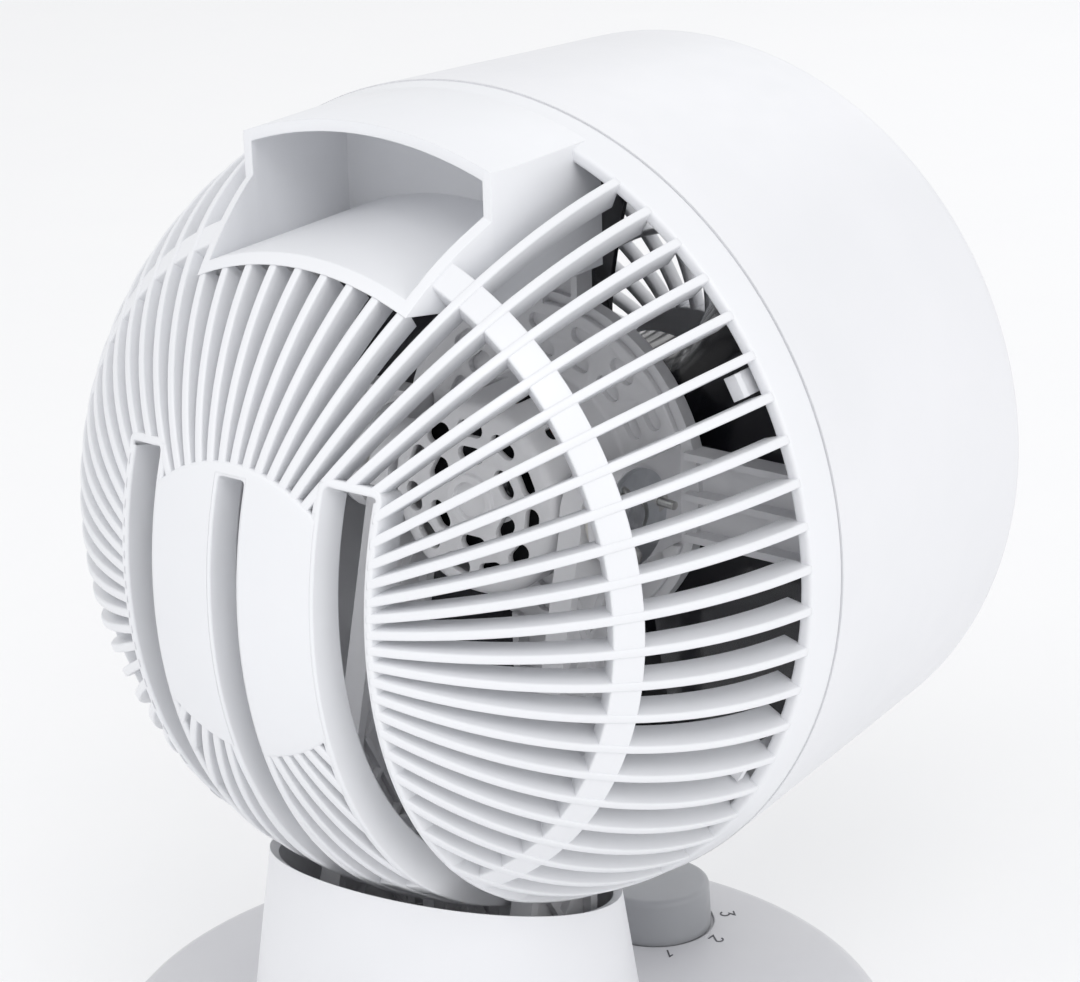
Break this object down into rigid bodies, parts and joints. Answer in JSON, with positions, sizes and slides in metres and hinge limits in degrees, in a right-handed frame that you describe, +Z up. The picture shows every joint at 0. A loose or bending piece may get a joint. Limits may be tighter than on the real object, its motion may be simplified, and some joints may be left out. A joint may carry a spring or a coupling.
{
  "type": "globe air circulator fan",
  "caption": "Desktop globe air circulator: a drum head with ribbed rear dome and top grip tilts on a yoke over a round weighted base with a rotary speed knob.",
  "frame": {"origin": "centre of the round base, on the plane its feet stand on", "axes": "+Z up; air blows out along -Y; the ribbed rear dome and finger grip face +Y"},
  "size_m": [0.214, 0.21, 0.281],
  "materials": {
    "white_abs": "satin moulded white ABS",
    "white_grille": "satin moulded white polypropylene",
    "grey_base": "fine-grained moulded light grey ABS",
    "grey_knob": "satin moulded mid grey ABS",
    "pointer_white": "white inlay",
    "print_dark": "pad-printed dark grey marks",
    "inner_white": "plain moulded white nylon",
    "blade_charcoal": "glossy charcoal AS resin",
    "rubber_black": "matt black rubber",
    "black_plastic": "black moulded plastic",
    "screw_steel": "bright zinc-plated steel",
    "shaft_steel": "ground steel",
    "plate_steel": "plain steel plate",
    "lamination_steel": "stacked electrical steel with dull varnish",
    "copper_winding": "enamelled copper wire",
    "bracket_steel": "pressed zinc-plated steel",
    "acetal": "natural acetal"
  },
  "bodies": {
    "base": {"base_cover": "grey_base", "base_bottom_plate": "grey_base", "rubber_feet": "rubber_black", "base_screws": "screw_steel", "ballast_plate": "plate_steel", "rotary_switch": "black_plastic", "switch_nut": "screw_steel", "run_capacitor": "black_plastic", "terminal_block": "inner_white", "cord_gland": "black_plastic", "dial_digits": "print_dark", "neck_shell": "white_abs", "yoke_turret": "inner_white", "yoke_arm_left": "inner_white", "yoke_arm_right": "inner_white", "yoke_centre_plate": "inner_white", "yoke_screws": "screw_steel", "pivot_pins": "shaft_steel", "friction_washers": "acetal"},
    "head": {"drum_shell": "white_abs", "rear_cover": "white_grille", "front_grille": "white_grille", "front_cap": "white_abs", "motor_frame": "inner_white", "motor_rear_cover": "inner_white", "motor_stator": "lamination_steel", "motor_windings": "copper_winding", "motor_end_bells": "plate_steel", "bearings": "shaft_steel", "frame_screws": "screw_steel", "pivot_bushes": "acetal", "pivot_retainers": "bracket_steel", "pivot_screws": "screw_steel"},
    "propeller": {"propeller": "blade_charcoal", "spinner_nut": "blade_charcoal", "motor_shaft": "shaft_steel", "motor_rotor": "lamination_steel"},
    "knob": {"speed_knob": "grey_knob", "knob_pointer": "pointer_white", "switch_shaft": "shaft_steel"}
  },
  "joints": [
    {"name": "head_tilt", "type": "hinge", "parent": "base", "child": "head", "pos_m": [0, -0.0075, 0.174], "axis": [-1, 0, 0], "range_deg": [0, 85]},
    {"name": "propeller_spin", "type": "hinge", "parent": "head", "child": "propeller", "pos_m": [0, -0.0075, 0.174], "axis": [0, -1, 0], "continuous": true},
    {"name": "knob_turn", "type": "hinge", "parent": "base", "child": "knob", "pos_m": [0, -0.073, 0.0282], "axis": [0, 0, 1], "range_deg": [-135, 0]}
  ]
}
